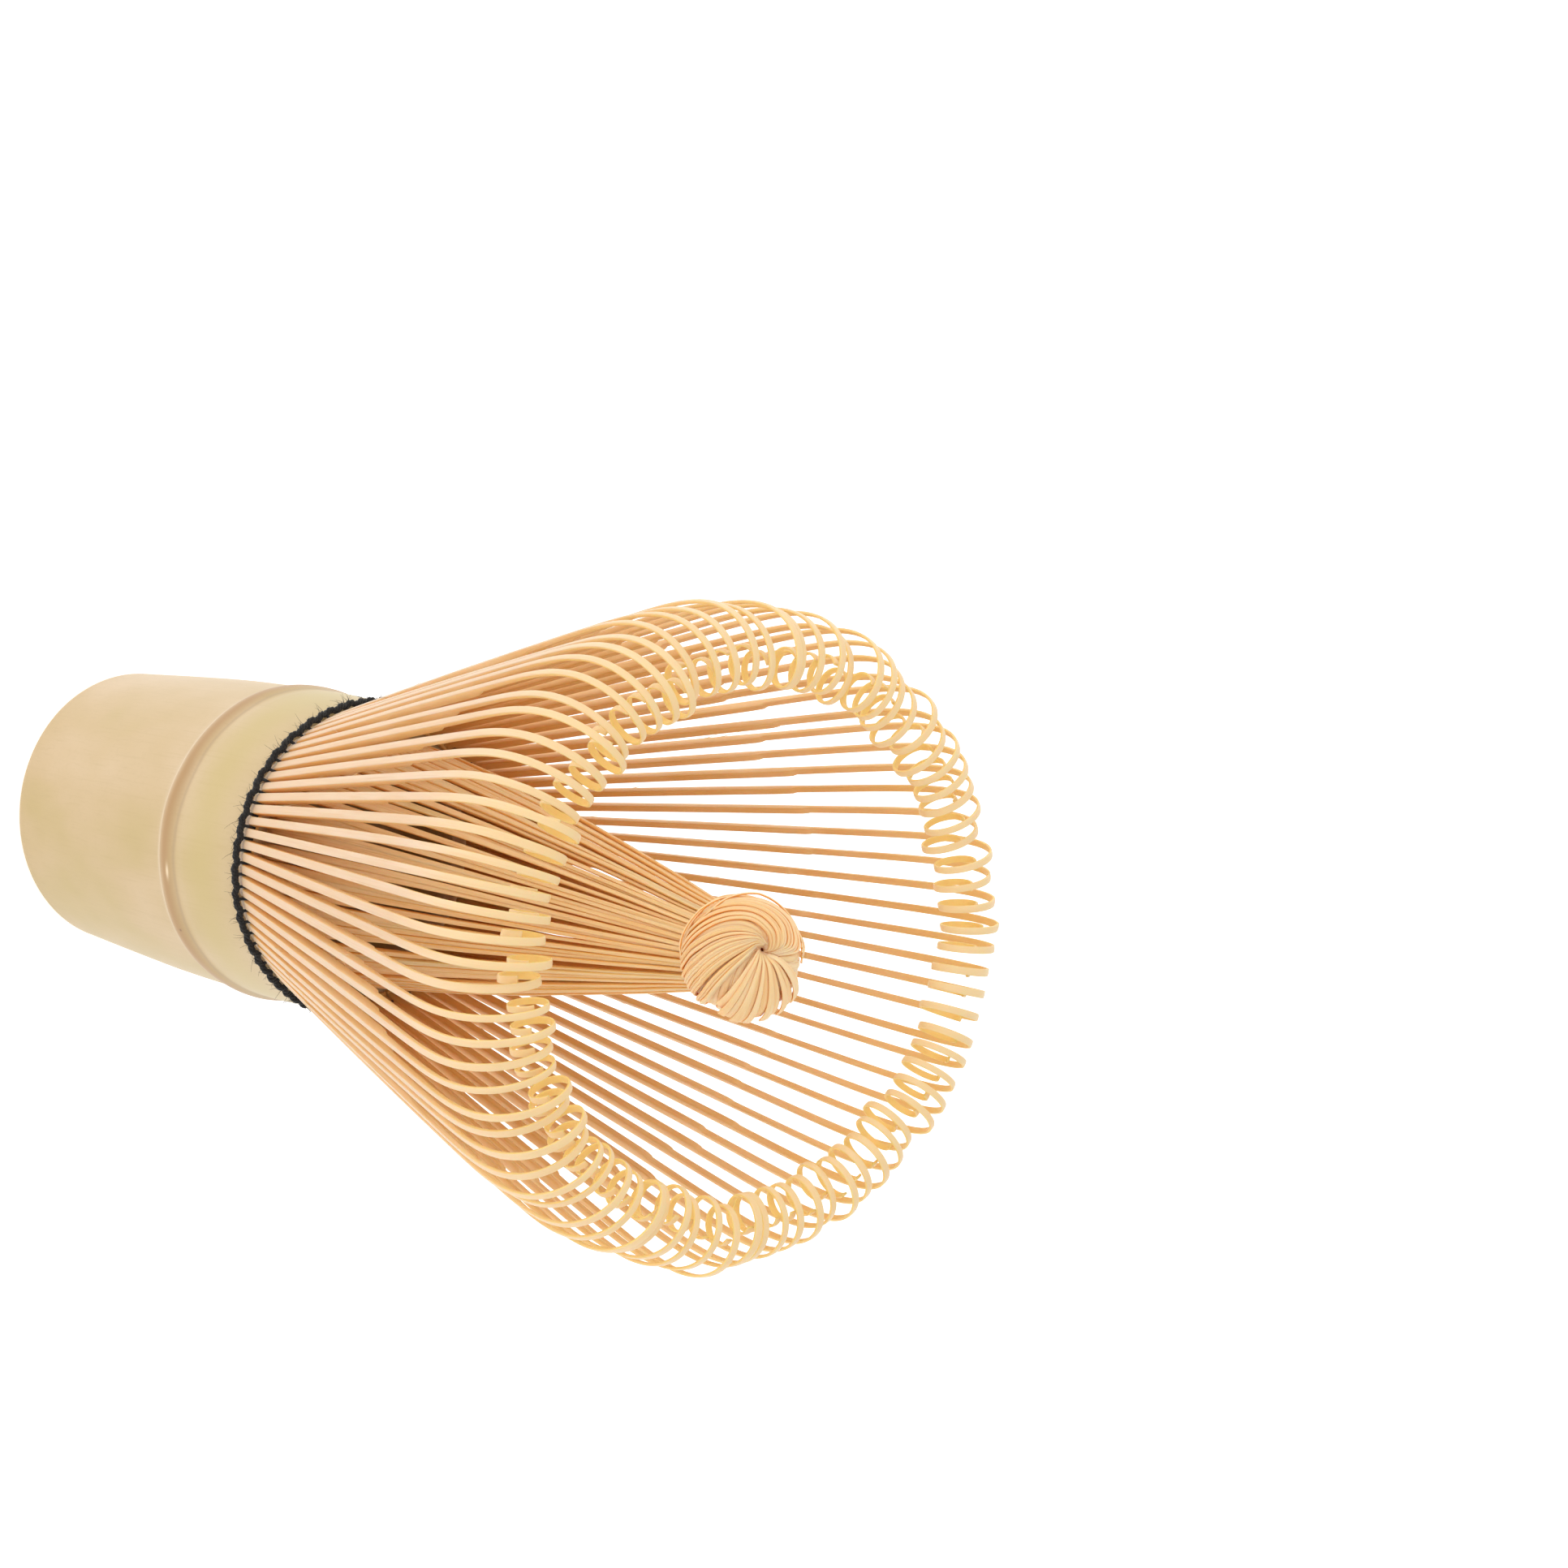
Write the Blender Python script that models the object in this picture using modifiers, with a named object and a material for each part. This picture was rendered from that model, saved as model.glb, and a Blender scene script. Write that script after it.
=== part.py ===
"""A bamboo tea whisk, standing on the foot of its handle.

One length of bamboo culm makes the handle. Above the handle's node its wall is split into sixteen sections,
and each section into an outer row of thick tines, which flare and curl in at the tip, and an inner row of
thin tines, which gather into a cone and end in a twisted knot. A black thread binds the roots.

Frame: metres, +Z up the whisk's axis from the foot to the mouth, the origin at the middle of the foot.
Run with: blender --background --python part.py
"""

import math

import bmesh
import bpy
from mathutils import Matrix, Vector

MM = 0.001

# Driving dimensions
SECTIONS = 16  # the maker's first split of the culm
TINES_PER_SECTION = 5
FOOT_RADIUS = 13.75 * MM
CULM_RADIUS = 15.40 * MM  # widest, just above the node
NODE_HEIGHT = 29.5 * MM
SPLIT_HEIGHT = 41.1 * MM  # top of the unsplit wall
THREAD_HEIGHT = 41.8 * MM
ROOT_HEIGHT = 41.5 * MM  # lowest point of the tines
KNOT_HEIGHT = 100.9 * MM
CLEARANCE = 0.3 * MM  # between neighbouring pieces

# Handle
FOOT_CHAMFER = 0.35 * MM
NODE_RIDGE = 0.36 * MM  # how far the node stands proud of the culm
NODE_HALF_WIDTH = 0.35 * MM
LOWER_BORE = 9.5 * MM
UPPER_BORE = 11.0 * MM
DIAPHRAGM = (27.2 * MM, 31.0 * MM)  # underside and top of the wall inside the node
HANDLE_STEPS = 40

# Binding thread
THREAD_RADIUS = 0.375 * MM
THREAD_RING = 15.59 * MM
THREAD_WEAVE = 0.10 * MM  # how far the thread rises and falls as it passes each tine

# Outer tines: the outer face runs from the root as a nearly straight stem, then winds up into a curl
TINE_WIDTH = 0.83 * MM
TINE_ROOT_RADIUS = 14.8 * MM
STEM_START = (15.25 * MM, 42.62 * MM)  # radius and height where the stem clears the thread
STEM_LENGTH = 42.1 * MM
STEM_LEAN = math.radians(17.7)
STEM_BOW = math.radians(1.0)  # how much the stem straightens along its length
CURL_LENGTH = 34.1 * MM
CURL_TURN = math.radians(384)
CURL_POWER = 2.46  # how late the curl tightens
CURL_MADE = 0.955  # share of the curl that is modelled, so that its end stays clear of itself
SHAVED_FROM = 36.6 * MM  # along the stem: the inner face is shaved thin from here up
TINE_THICKNESS = (
    (0.0, 1.0 * MM),
    (SHAVED_FROM, 0.85 * MM),
    (SHAVED_FROM + 1.0 * MM, 0.50 * MM),
    (58 * MM, 0.30 * MM),
    (80 * MM, 0.26 * MM),
)
STEM_STATIONS = (0.0, 15 * MM, SHAVED_FROM, SHAVED_FROM + 1.0 * MM)
CURL_STATIONS = (0.08, 0.30, 0.45, 0.57, 0.66, 0.74, 0.81, 0.88, CURL_MADE)
PATH_STEPS = 400
ROOT_BLOCK = (13.55 * MM, TINE_ROOT_RADIUS, 0.75 * MM)  # inner radius, outer radius and height
HINGE_RADIUS = 14.2 * MM

# Inner tines: radius of the cone's outer face against height
CONE = ((42.0, 12.55), (50, 11.9), (60, 10.7), (69.6, 9.3), (79, 7.6), (88, 5.8), (93, 4.7), (96.0, 4.1))
STRIP_THICKNESS = 0.8 * MM
CORE_LEAN = 1.2 * MM  # how far the knot stands off the axis, along +X
STRIP_COLUMNS = 2

# Knot
KNOT_RADIUS = 5.5 * MM
KNOT_RISE = 4.3 * MM  # above its widest level
KNOT_DROP = 5.4 * MM  # below it
KNOT_EYE_DEPTH = 2.6 * MM
KNOT_EYE_WIDTH = 0.34  # of the knot's radius
KNOT_LOBES = 9
KNOT_LOBE_DEPTH = 0.035
KNOT_TWIST = math.radians(80)
KNOT_SEGMENTS = 36
KNOT_RINGS = 10

HANDLE_COLOUR = (0.77, 0.60, 0.34)
OUTER_COLOUR = (0.90, 0.68, 0.38)
INNER_COLOUR = (0.82, 0.50, 0.20)
THREAD_COLOUR = (0.012, 0.012, 0.012)


def clear_scene():
    for obj in list(bpy.data.objects):
        bpy.data.objects.remove(obj, do_unlink=True)


def new_collection(name):
    collection = bpy.data.collections.new(name)
    bpy.context.scene.collection.children.link(collection)
    return collection


def new_material(name, colour, roughness):
    material = bpy.data.materials.new(name)
    material.use_nodes = True
    shader = material.node_tree.nodes["Principled BSDF"]
    shader.inputs["Base Color"].default_value = (*colour, 1.0)
    shader.inputs["Roughness"].default_value = roughness
    shader.inputs["Metallic"].default_value = 0.0
    material.diffuse_color = (*colour, 1.0)
    return material


def new_object(name, data, collection, material=None):
    obj = bpy.data.objects.new(name, data)
    collection.objects.link(obj)
    if material and not data.materials:
        data.materials.append(material)
    return obj


def shade_round(mesh, degrees=40):
    mesh.shade_smooth()
    mesh.set_sharp_from_angle(angle=math.radians(degrees))


def evaluated_mesh(obj, name):
    """The object's shape with its modifiers, as a new mesh in the object's own space."""
    bpy.context.view_layer.update()
    graph = bpy.context.evaluated_depsgraph_get()
    mesh = bpy.data.meshes.new_from_object(obj.evaluated_get(graph))
    mesh.name = name
    return mesh


def welded_mesh(curve_object, name):
    """The mesh of a curve object with its caps welded to its sides. The curve is removed."""
    mesh = evaluated_mesh(curve_object, name)
    mesh.transform(curve_object.matrix_world)
    shape = bmesh.new()
    shape.from_mesh(mesh)
    bmesh.ops.remove_doubles(shape, verts=shape.verts, dist=0.001 * MM)
    shape.to_mesh(mesh)
    shape.free()
    bpy.data.objects.remove(curve_object, do_unlink=True)
    return mesh


def interpolate(x, pairs):
    """The straight-line value at x of a list of (x, value) pairs."""
    for (x0, y0), (x1, y1) in zip(pairs, pairs[1:]):
        if x <= x1:
            return y0 + (y1 - y0) * (x - x0) / (x1 - x0)
    return pairs[-1][1]


def flat_outline(name, points, half_thickness, collection):
    """A closed outline in the XY plane, filled and extruded both ways along Z."""
    curve = bpy.data.curves.new(name, "CURVE")
    curve.dimensions = "2D"
    curve.fill_mode = "BOTH"
    curve.extrude = half_thickness
    spline = curve.splines.new("POLY")
    spline.points.add(len(points) - 1)
    for spline_point, (x, y) in zip(spline.points, points):
        spline_point.co = (x, y, 0.0, 1.0)
    spline.use_cyclic_u = True
    return new_object(name, curve, collection)


def turned(name, profile, steps, collection, material):
    """A solid of revolution about Z, from (radius, height) points that run down the outer side."""
    mesh = bpy.data.meshes.new(name)
    edges = [(i, i + 1) for i in range(len(profile) - 1)]
    mesh.from_pydata([(radius, 0.0, height) for radius, height in profile], edges, [])
    obj = new_object(name, mesh, collection, material)
    screw = obj.modifiers.new("Turn", "SCREW")
    screw.axis = "Z"
    screw.steps = steps
    screw.render_steps = steps
    screw.use_merge_vertices = True
    screw.merge_threshold = 0.01 * MM
    screw.use_smooth_shade = True
    return obj


def make_handle(collection, material):
    under, over = DIAPHRAGM
    ridge = CULM_RADIUS + NODE_RIDGE
    outer_side = [
        (15.00 * MM, SPLIT_HEIGHT),
        (15.28 * MM, 38.9 * MM),
        (CULM_RADIUS, 34.6 * MM),
        (15.36 * MM, NODE_HEIGHT + 3 * NODE_HALF_WIDTH),
        (ridge, NODE_HEIGHT + NODE_HALF_WIDTH),
        (ridge, NODE_HEIGHT - NODE_HALF_WIDTH),
        (15.36 * MM, NODE_HEIGHT - 3.4 * NODE_HALF_WIDTH),
        (15.25 * MM, 24 * MM),
        (14.96 * MM, 17.3 * MM),
        (14.40 * MM, 9 * MM),
        (FOOT_RADIUS, FOOT_CHAMFER),
        (FOOT_RADIUS - FOOT_CHAMFER, 0.0),
    ]
    upper_hollow = [(0.0, over), (UPPER_BORE, over), (UPPER_BORE, SPLIT_HEIGHT)]
    lower_hollow = [(LOWER_BORE, 0.0), (LOWER_BORE, under), (0.0, under)]
    profile = upper_hollow + outer_side + lower_hollow
    return turned("handle", profile, HANDLE_STEPS, collection, material)


def make_thread(collection, material):
    """One ring of thread, which rises over one tine and dips under the next."""
    count = SECTIONS * TINES_PER_SECTION
    curve = bpy.data.curves.new("binding_thread", "CURVE")
    curve.dimensions = "3D"
    curve.bevel_depth = THREAD_RADIUS
    curve.bevel_resolution = 1
    spline = curve.splines.new("POLY")
    spline.points.add(count - 1)
    for i, point in enumerate(spline.points):
        angle = 2 * math.pi * i / count
        height = THREAD_HEIGHT + (THREAD_WEAVE if i % 2 else -THREAD_WEAVE)
        point.co = (THREAD_RING * math.cos(angle), THREAD_RING * math.sin(angle), height, 1.0)
    spline.use_cyclic_u = True
    return new_object("binding_thread", curve, collection, material)


def tine_path():
    """Length, radius, height and lean of the outer face, from the thread to the end of the curl."""
    total = STEM_LENGTH + CURL_LENGTH
    step = total / PATH_STEPS
    radius, height = STEM_START
    lean = STEM_LEAN
    path = [(0.0, radius, height, lean)]
    for i in range(1, PATH_STEPS + 1):
        length = i * step
        if length < STEM_LENGTH:
            bend = STEM_BOW / STEM_LENGTH
        else:
            share = (length - STEM_LENGTH) / CURL_LENGTH
            bend = CURL_TURN * (CURL_POWER + 1) / CURL_LENGTH * share**CURL_POWER
        lean -= bend * step
        radius += math.sin(lean) * step
        height += math.cos(lean) * step
        path.append((length, radius, height, lean))
    return path


def tine_outline():
    """The side view of one tine, as (radius, height) points round its edge."""
    path = tine_path()
    total = path[-1][0]
    stations = list(STEM_STATIONS) + [STEM_LENGTH + share * CURL_LENGTH for share in CURL_STATIONS]
    outer = [(TINE_ROOT_RADIUS, ROOT_HEIGHT), (TINE_ROOT_RADIUS, ROOT_HEIGHT + 0.5 * MM)]
    inner = [(TINE_ROOT_RADIUS - TINE_THICKNESS[0][1], ROOT_HEIGHT)]
    for station in stations:
        _, radius, height, lean = path[round(station / total * PATH_STEPS)]
        thickness = interpolate(station, TINE_THICKNESS)
        outer.append((radius, height))
        inner.append((radius - thickness * math.cos(lean), height + thickness * math.sin(lean)))
    return outer + inner[::-1]


def arc_outline(inner_radius, outer_radius, half_angle, steps=4):
    angles = [half_angle * (2 * i / steps - 1) for i in range(steps + 1)]
    outer = [(outer_radius * math.cos(a), outer_radius * math.sin(a)) for a in angles]
    inner = [(inner_radius * math.cos(a), inner_radius * math.sin(a)) for a in angles]
    return outer + inner[::-1]


def outer_section_mesh(collection, cutters):
    """One section's tines joined at the root, about a point on its hinge axis, facing +X."""
    upright = Matrix.Rotation(math.radians(90), 4, "X")
    tine = flat_outline("tine_outline", tine_outline(), TINE_WIDTH / 2, collection)
    tine.matrix_world = upright
    bpy.context.view_layer.update()
    tine_mesh = welded_mesh(tine, "tine")
    pitch = 2 * math.pi / (SECTIONS * TINES_PER_SECTION)
    fan = bmesh.new()
    for i in range(TINES_PER_SECTION):
        turned_mesh = tine_mesh.copy()
        turned_mesh.transform(Matrix.Rotation((i - (TINES_PER_SECTION - 1) / 2) * pitch, 4, "Z"))
        fan.from_mesh(turned_mesh)
        bpy.data.meshes.remove(turned_mesh)
    fan_mesh = bpy.data.meshes.new("tine_fan")
    fan.to_mesh(fan_mesh)
    fan.free()
    bpy.data.meshes.remove(tine_mesh)
    fan_object = new_object("tine_fan", fan_mesh, cutters)

    inner_radius, outer_radius, height = ROOT_BLOCK
    half_angle = math.pi / SECTIONS - CLEARANCE / 2 / HINGE_RADIUS
    block_outline = arc_outline(inner_radius, outer_radius, half_angle)
    block = flat_outline("root_outline", block_outline, height / 2, collection)
    block.location.z = ROOT_HEIGHT + height / 2
    bpy.context.view_layer.update()
    block_object = new_object("root_block", welded_mesh(block, "root_block"), cutters)
    union = block_object.modifiers.new("Join tines", "BOOLEAN")
    union.operation = "UNION"
    union.solver = "EXACT"
    union.object = fan_object
    mesh = evaluated_mesh(block_object, "outer_section")
    for helper in (fan_object, block_object):
        helper.hide_render = True
        helper.display_type = "WIRE"
    mesh.transform(Matrix.Translation(-Vector((HINGE_RADIUS, 0.0, THREAD_HEIGHT))))
    return mesh


def section_angle(index):
    return 2 * math.pi * (index + 0.5) / SECTIONS


def make_outer_sections(collection, cutters, material):
    mesh = outer_section_mesh(collection, cutters)
    mesh.materials.clear()
    mesh.materials.append(material)
    for index in range(SECTIONS):
        angle = section_angle(index)
        section = new_object(f"outer_tines_{index + 1:02d}", mesh, collection)
        section.location = (HINGE_RADIUS * math.cos(angle), HINGE_RADIUS * math.sin(angle), THREAD_HEIGHT)
        section.rotation_euler.z = angle


def core_shift(height):
    """How far the core's axis has leaned over at this height."""
    rise = (height - ROOT_HEIGHT) / (KNOT_HEIGHT - ROOT_HEIGHT)
    return CORE_LEAN * max(rise, 0.0) ** 1.5


def make_inner_strip(index, collection, material):
    """One section's inner tines as a tapered strip of the cone, thickened outwards."""
    name = f"inner_tines_{index + 1:02d}"
    rows = len(CONE) - 1
    strip = bmesh.new()
    bmesh.ops.create_grid(strip, x_segments=STRIP_COLUMNS, y_segments=rows, size=1.0)
    for vert in strip.verts:
        row = round((vert.co.y + 1) / 2 * rows)
        height, outer_radius = (value * MM for value in CONE[row])
        radius = outer_radius - STRIP_THICKNESS
        half_width = radius * math.sin(math.pi / SECTIONS) - CLEARANCE / 2
        angle = section_angle(index) + vert.co.x * math.asin(half_width / radius)
        vert.co = (radius * math.cos(angle) + core_shift(height), radius * math.sin(angle), height)
    mesh = bpy.data.meshes.new(name)
    strip.to_mesh(mesh)
    strip.free()
    obj = new_object(name, mesh, collection, material)
    solidify = obj.modifiers.new("Thickness", "SOLIDIFY")
    solidify.thickness = STRIP_THICKNESS
    solidify.offset = 1.0
    shade_round(mesh)
    return obj


def make_knot(collection, material):
    """A ball, flatter above than below, with shallow lobes that twist into an eye sunk in its top."""
    ball = bmesh.new()
    bmesh.ops.create_uvsphere(ball, u_segments=KNOT_SEGMENTS, v_segments=KNOT_RINGS, radius=1.0)
    for vert in ball.verts:
        reach = math.hypot(vert.co.x, vert.co.y)
        around = math.atan2(vert.co.y, vert.co.x)
        twist = KNOT_TWIST * (1 - vert.co.z)
        lobe = 1 + KNOT_LOBE_DEPTH * math.cos(KNOT_LOBES * (around + twist))
        height = (KNOT_RISE if vert.co.z > 0 else KNOT_DROP) * vert.co.z
        if vert.co.z > 0:
            height -= KNOT_EYE_DEPTH * math.exp(-((reach / KNOT_EYE_WIDTH) ** 2))
        radius = KNOT_RADIUS * reach * lobe
        vert.co = (radius * math.cos(around), radius * math.sin(around), height)
    mesh = bpy.data.meshes.new("core_knot")
    ball.to_mesh(mesh)
    ball.free()
    mesh.shade_smooth()
    knot = new_object("core_knot", mesh, collection, material)
    knot.location = (core_shift(KNOT_HEIGHT), 0.0, KNOT_HEIGHT)
    return knot


def main():
    clear_scene()
    whisk = new_collection("bamboo_tea_whisk")
    cutters = new_collection("cutters")
    handle_bamboo = new_material("handle_bamboo", HANDLE_COLOUR, 0.45)
    outer_bamboo = new_material("outer_bamboo", OUTER_COLOUR, 0.50)
    inner_bamboo = new_material("inner_bamboo", INNER_COLOUR, 0.60)
    black_thread = new_material("black_thread", THREAD_COLOUR, 0.95)
    make_handle(whisk, handle_bamboo)
    make_thread(whisk, black_thread)
    make_outer_sections(whisk, cutters, outer_bamboo)
    for index in range(SECTIONS):
        make_inner_strip(index, whisk, inner_bamboo)
    make_knot(whisk, inner_bamboo)


main()
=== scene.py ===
"""The looks of the bamboo tea whisk: culm, split tines, knot and black thread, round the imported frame."""

import math

import bpy
import numpy as np
from mathutils import Matrix, Vector

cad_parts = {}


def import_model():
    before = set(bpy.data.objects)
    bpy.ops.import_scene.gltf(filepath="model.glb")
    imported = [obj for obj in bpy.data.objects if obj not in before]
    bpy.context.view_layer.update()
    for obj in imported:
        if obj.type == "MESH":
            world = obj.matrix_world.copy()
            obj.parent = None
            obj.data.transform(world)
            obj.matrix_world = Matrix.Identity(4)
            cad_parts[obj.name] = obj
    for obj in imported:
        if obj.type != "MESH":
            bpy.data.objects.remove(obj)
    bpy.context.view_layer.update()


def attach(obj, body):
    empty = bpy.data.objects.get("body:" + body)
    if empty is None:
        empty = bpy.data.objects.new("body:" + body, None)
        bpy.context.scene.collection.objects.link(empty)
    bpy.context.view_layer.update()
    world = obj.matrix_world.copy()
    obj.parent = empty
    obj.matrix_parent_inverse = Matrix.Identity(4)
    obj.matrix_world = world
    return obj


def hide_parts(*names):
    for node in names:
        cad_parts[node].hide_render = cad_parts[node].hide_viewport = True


MM = 0.001
TAU = 2 * math.pi
UP = np.array([0.0, 0.0, 1.0])
SECTIONS = 16
TINES_PER_SECTION = 5
TINES = SECTIONS * TINES_PER_SECTION
RNG = np.random.default_rng(7)

# Strips: their smooth outer face is one material slot, their split sides and inner face the other.
SKIN, FLESH = 0, 1
SLOTS_ROUND = (SKIN,) * 3 + (FLESH,) * 9 + (SKIN,) * 2
STRIP_ROUNDING = (0.28, 0.09 * MM)  # corner radius as a share of the smaller side, and the most it may be
KNOT_ROUNDING = (0.44, 0.16 * MM)

# Outer tines. The outer face leaves the thread as a nearly straight stem and winds up into a curl.
ROOT_WIDTH = 0.80 * MM
ROOT_HEIGHT = 41.5 * MM
ROOT_RADIUS = 14.8 * MM
ROOT_BLOCK_WIDTH = 0.7 * MM
ROOT_BLOCK_DEPTH = 1.2 * MM
ROOT_BLOCK_GAP = 0.15 * MM  # half the gap between two sections
# Tines on the -Y side are split wider than those on the +Y side.
STEM_WIDTHS = (0.82 * MM, 0.57 * MM)
CURL_WIDTHS = (0.74 * MM, 0.69 * MM)
STEM_START = (15.25 * MM, 42.62 * MM)  # radius and height
STEM_LENGTH = 37.85 * MM
STEM_LEAN = math.radians(17.54)
STEM_BOW = math.radians(1.0)
CURL_LENGTH = 39.4 * MM
CURL_TURN = math.radians(427)
CURL_POWER = 3.52
CURL_EVEN_FROM = 0.82  # share of the curl after which its bend grows no more, so that it ends in a round ring
CURL_STEP_ASIDE = 0.24 * MM  # each turn lies this far beside the last, clockwise seen from the mouth
SHAVED_FROM = 37.2 * MM  # along the tine: its inner face is shaved thin from here up
PATH_STEPS = 480
SPLINTERS_PER_SECTION = 4

# Inner tines: height and outer radius of the cone, in millimetres
CONE = (
    (42.0, 12.5),
    (50, 11.8),
    (60, 10.6),
    (69.6, 9.2),
    (79, 7.5),
    (88, 5.8),
    (93, 4.75),
    (96, 4.15),
    (98, 3.8),
)
CORE_LEAN = 1.2 * MM  # how far the cone's top stands along +X of the whisk's axis
STRIPS_PER_SECTION = 6
STRIP_RINGS = 44
STRIP_WIDTHS = (0.38 * MM, 0.78 * MM)  # least and most

KNOT_HEIGHT = 101.35 * MM  # of its widest level
KNOT_ASIDE = 1.4 * MM  # of its middle, along +X
KNOT_REACH = 5.45 * MM
KNOT_RISE = 4.9 * MM
KNOT_DROP = 6.3 * MM
EYE_DEPTH = 0.9 * MM
EYE_SPREAD = math.radians(12)
EYE = np.array([-0.28, -0.26, 0.924]) / math.hypot(0.28, 0.26, 0.924)  # the way the eye faces
EYE_SIDE = np.cross([-0.98, -0.12, -0.15], EYE)  # square to it, towards +Y
EYE_SIDE /= np.linalg.norm(EYE_SIDE)
STRAND_DEPTH = 0.36  # millimetres, of the strands on top

# Thread: three plies that weave round the roots, a pass between each two tines, and loose hairs
THREAD_HEIGHT = 41.95 * MM
THREAD_RING = 15.53 * MM
PLIES = 3
PLY_RADIUS = 0.19 * MM
PLY_OFFSET = 0.17 * MM
HAIRS = 620

# Handle, in millimetres as radius and height: the lower hollow and the foot, the side up to the node, the
# node's ring, the side above it, and the top edge with the upper hollow
NODE_HEIGHT = 29.5 * MM
NODE_RADIUS = 15.7 * MM
LOWER_HOLLOW = [(0.4, 26.7), (7.0, 27.0), (9.0, 26.6), (9.5, 25.6), (9.55, 12), (9.5, 0.35), (9.75, 0.0)]
FOOT_EDGE = [(11.0, 0.0), (12.4, 0.0), (13.25, 0.0), (13.5, 0.06), (13.68, 0.2), (13.76, 0.42)]
LOWER_SIDE = [(13.79, 0.9), (14.05, 4.3), (14.4, 9), (14.96, 17.3), (15.22, 23.5), (15.32, 26.8)]
NODE_RING = [
    (15.33, 27.4),
    (15.34, 27.9),
    (15.40, 28.3),
    (15.54, 28.6),
    (15.68, 28.9),
    (15.75, 29.25),
    (15.76, 29.6),
    (15.73, 29.95),
    (15.66, 30.3),
    (15.55, 30.6),
    (15.44, 30.9),
    (15.38, 31.2),
    (15.38, 31.6),
    (15.41, 32.1),
]
UPPER_SIDE = [(15.44, 32.6), (15.43, 34.6), (15.36, 37.4), (15.24, 39.6), (15.10, 41.0)]
TOP_EDGE = [(15.06, 41.1), (13.0, 41.12), (11.05, 41.1)]
UPPER_HOLLOW = [(11.0, 41.0), (11.0, 33), (10.4, 31.8), (8.0, 31.2), (0.4, 31.0)]
OUTSIDE_RADIUS = 12.5 * MM  # beyond it the culm's natural unevenness shows

# Colours of the split bamboo: its two tones, its dark fibres, and the tones near the root and in the curl
BAMBOO = {
    "outer_skin": {
        "pale": (0.72, 0.52, 0.34),
        "warm": (0.69, 0.46, 0.26),
        "line": (0.58, 0.33, 0.14),
        "root": (0.70, 0.48, 0.30),
        "curl": (0.92, 0.68, 0.34),
        "roughness": 0.45,
        "glow": 0.25,
    },
    "outer_flesh": {
        "pale": (0.82, 0.55, 0.27),
        "warm": (0.76, 0.47, 0.18),
        "line": (0.56, 0.28, 0.07),
        "root": (0.80, 0.41, 0.10),
        "curl": (0.95, 0.69, 0.24),
        "roughness": 0.55,
        "glow": 0.35,
    },
    "inner_skin": {
        "pale": (0.90, 0.60, 0.30),
        "warm": (0.85, 0.50, 0.20),
        "line": (0.62, 0.30, 0.09),
        "roughness": 0.55,
        "glow": 0.3,
    },
    "inner_flesh": {
        "pale": (0.96, 0.55, 0.18),
        "warm": (0.90, 0.44, 0.11),
        "line": (0.70, 0.29, 0.05),
        "roughness": 0.6,
        "glow": 0.35,
    },
    # painted light: the knot's skin is a lighter copy of the inner skin, standing in for brighter light on
    # the strands' tops
    "knot_skin_painted_light": {
        "pale": (1.0, 0.71, 0.41),
        "warm": (0.97, 0.59, 0.26),
        "line": (0.82, 0.40, 0.12),
        "roughness": 0.5,
        "glow": 0.25,
    },
    # painted shade: the knot's flesh, on the strands' sides, is a deeper orange than the inner flesh,
    # standing in for shade in the creases
    "knot_flesh_painted_shade": {
        "pale": (0.93, 0.43, 0.10),
        "warm": (0.86, 0.34, 0.05),
        "line": (0.64, 0.22, 0.02),
        "roughness": 0.6,
        "glow": 0.25,
    },
}

# Where along a strip, in millimetres, its root tone and curl tone begin and are full, and their strength
TONES_ALONG = {"root": (22, 6, 0.55), "curl": (46, 66, 0.8)}

# Culm: tones of its clouds by the noise's value, and the coloured rings round it as height and spread in
# millimetres, colour and strength
CULM_TONES = ((0.34, (0.62, 0.455, 0.265)), (0.50, (0.57, 0.41, 0.205)), (0.66, (0.51, 0.375, 0.145)))
CULM_RINGS = (
    (35.6, 3.4, (0.52, 0.40, 0.13), 0.60),
    (29.65, 0.95, (0.42, 0.235, 0.085), 0.95),
    (30.95, 0.20, (0.40, 0.27, 0.15), 0.45),
    # painted highlight: this pale line along the lower edge of the node's ridge stands in for light
    (28.45, 0.28, (0.74, 0.60, 0.42), 0.55),
)

# Lamps: name, place, size and power in watts
LAMPS = (("key", (-0.72, -0.42, 0.62), 0.55, 1.3), ("mouth_fill", (0.10, -0.55, 0.95), 0.9, 0.9))
LAMPS_AIM = (0, 0, 0.06)
WORLD_STRENGTH = 0.86

# The camera stands on the mouth's side, 40 degrees off the whisk's axis, and is turned so that the mouth
# points right and a little down in the picture.
CAMERA_PLACE = (-0.01476, -0.35770, 0.52773)
CAMERA_RIGHT = (-0.18575, 0.75222, 0.63219)
CAMERA_ABOVE = (-0.98260, -0.14220, -0.11951)
CAMERA_LENS = 141.3


# ---------------------------------------------------------------- meshes


def unit(vectors):
    return vectors / np.linalg.norm(vectors, axis=-1, keepdims=True)


def round_the_axis(angle):
    """Unit vectors away from the whisk's axis and round it, at each angle."""
    radial = np.stack([np.cos(angle), np.sin(angle), 0 * angle], axis=1)
    around = np.stack([-np.sin(angle), np.cos(angle), 0 * angle], axis=1)
    return radial, around


def turned_about_path(across, out, twist):
    """The two directions after the strip has twisted about its own length."""
    turned_across = across * np.cos(twist)[:, None] - out * np.sin(twist)[:, None]
    turned_out = out * np.cos(twist)[:, None] + across * np.sin(twist)[:, None]
    return turned_across, turned_out


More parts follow.
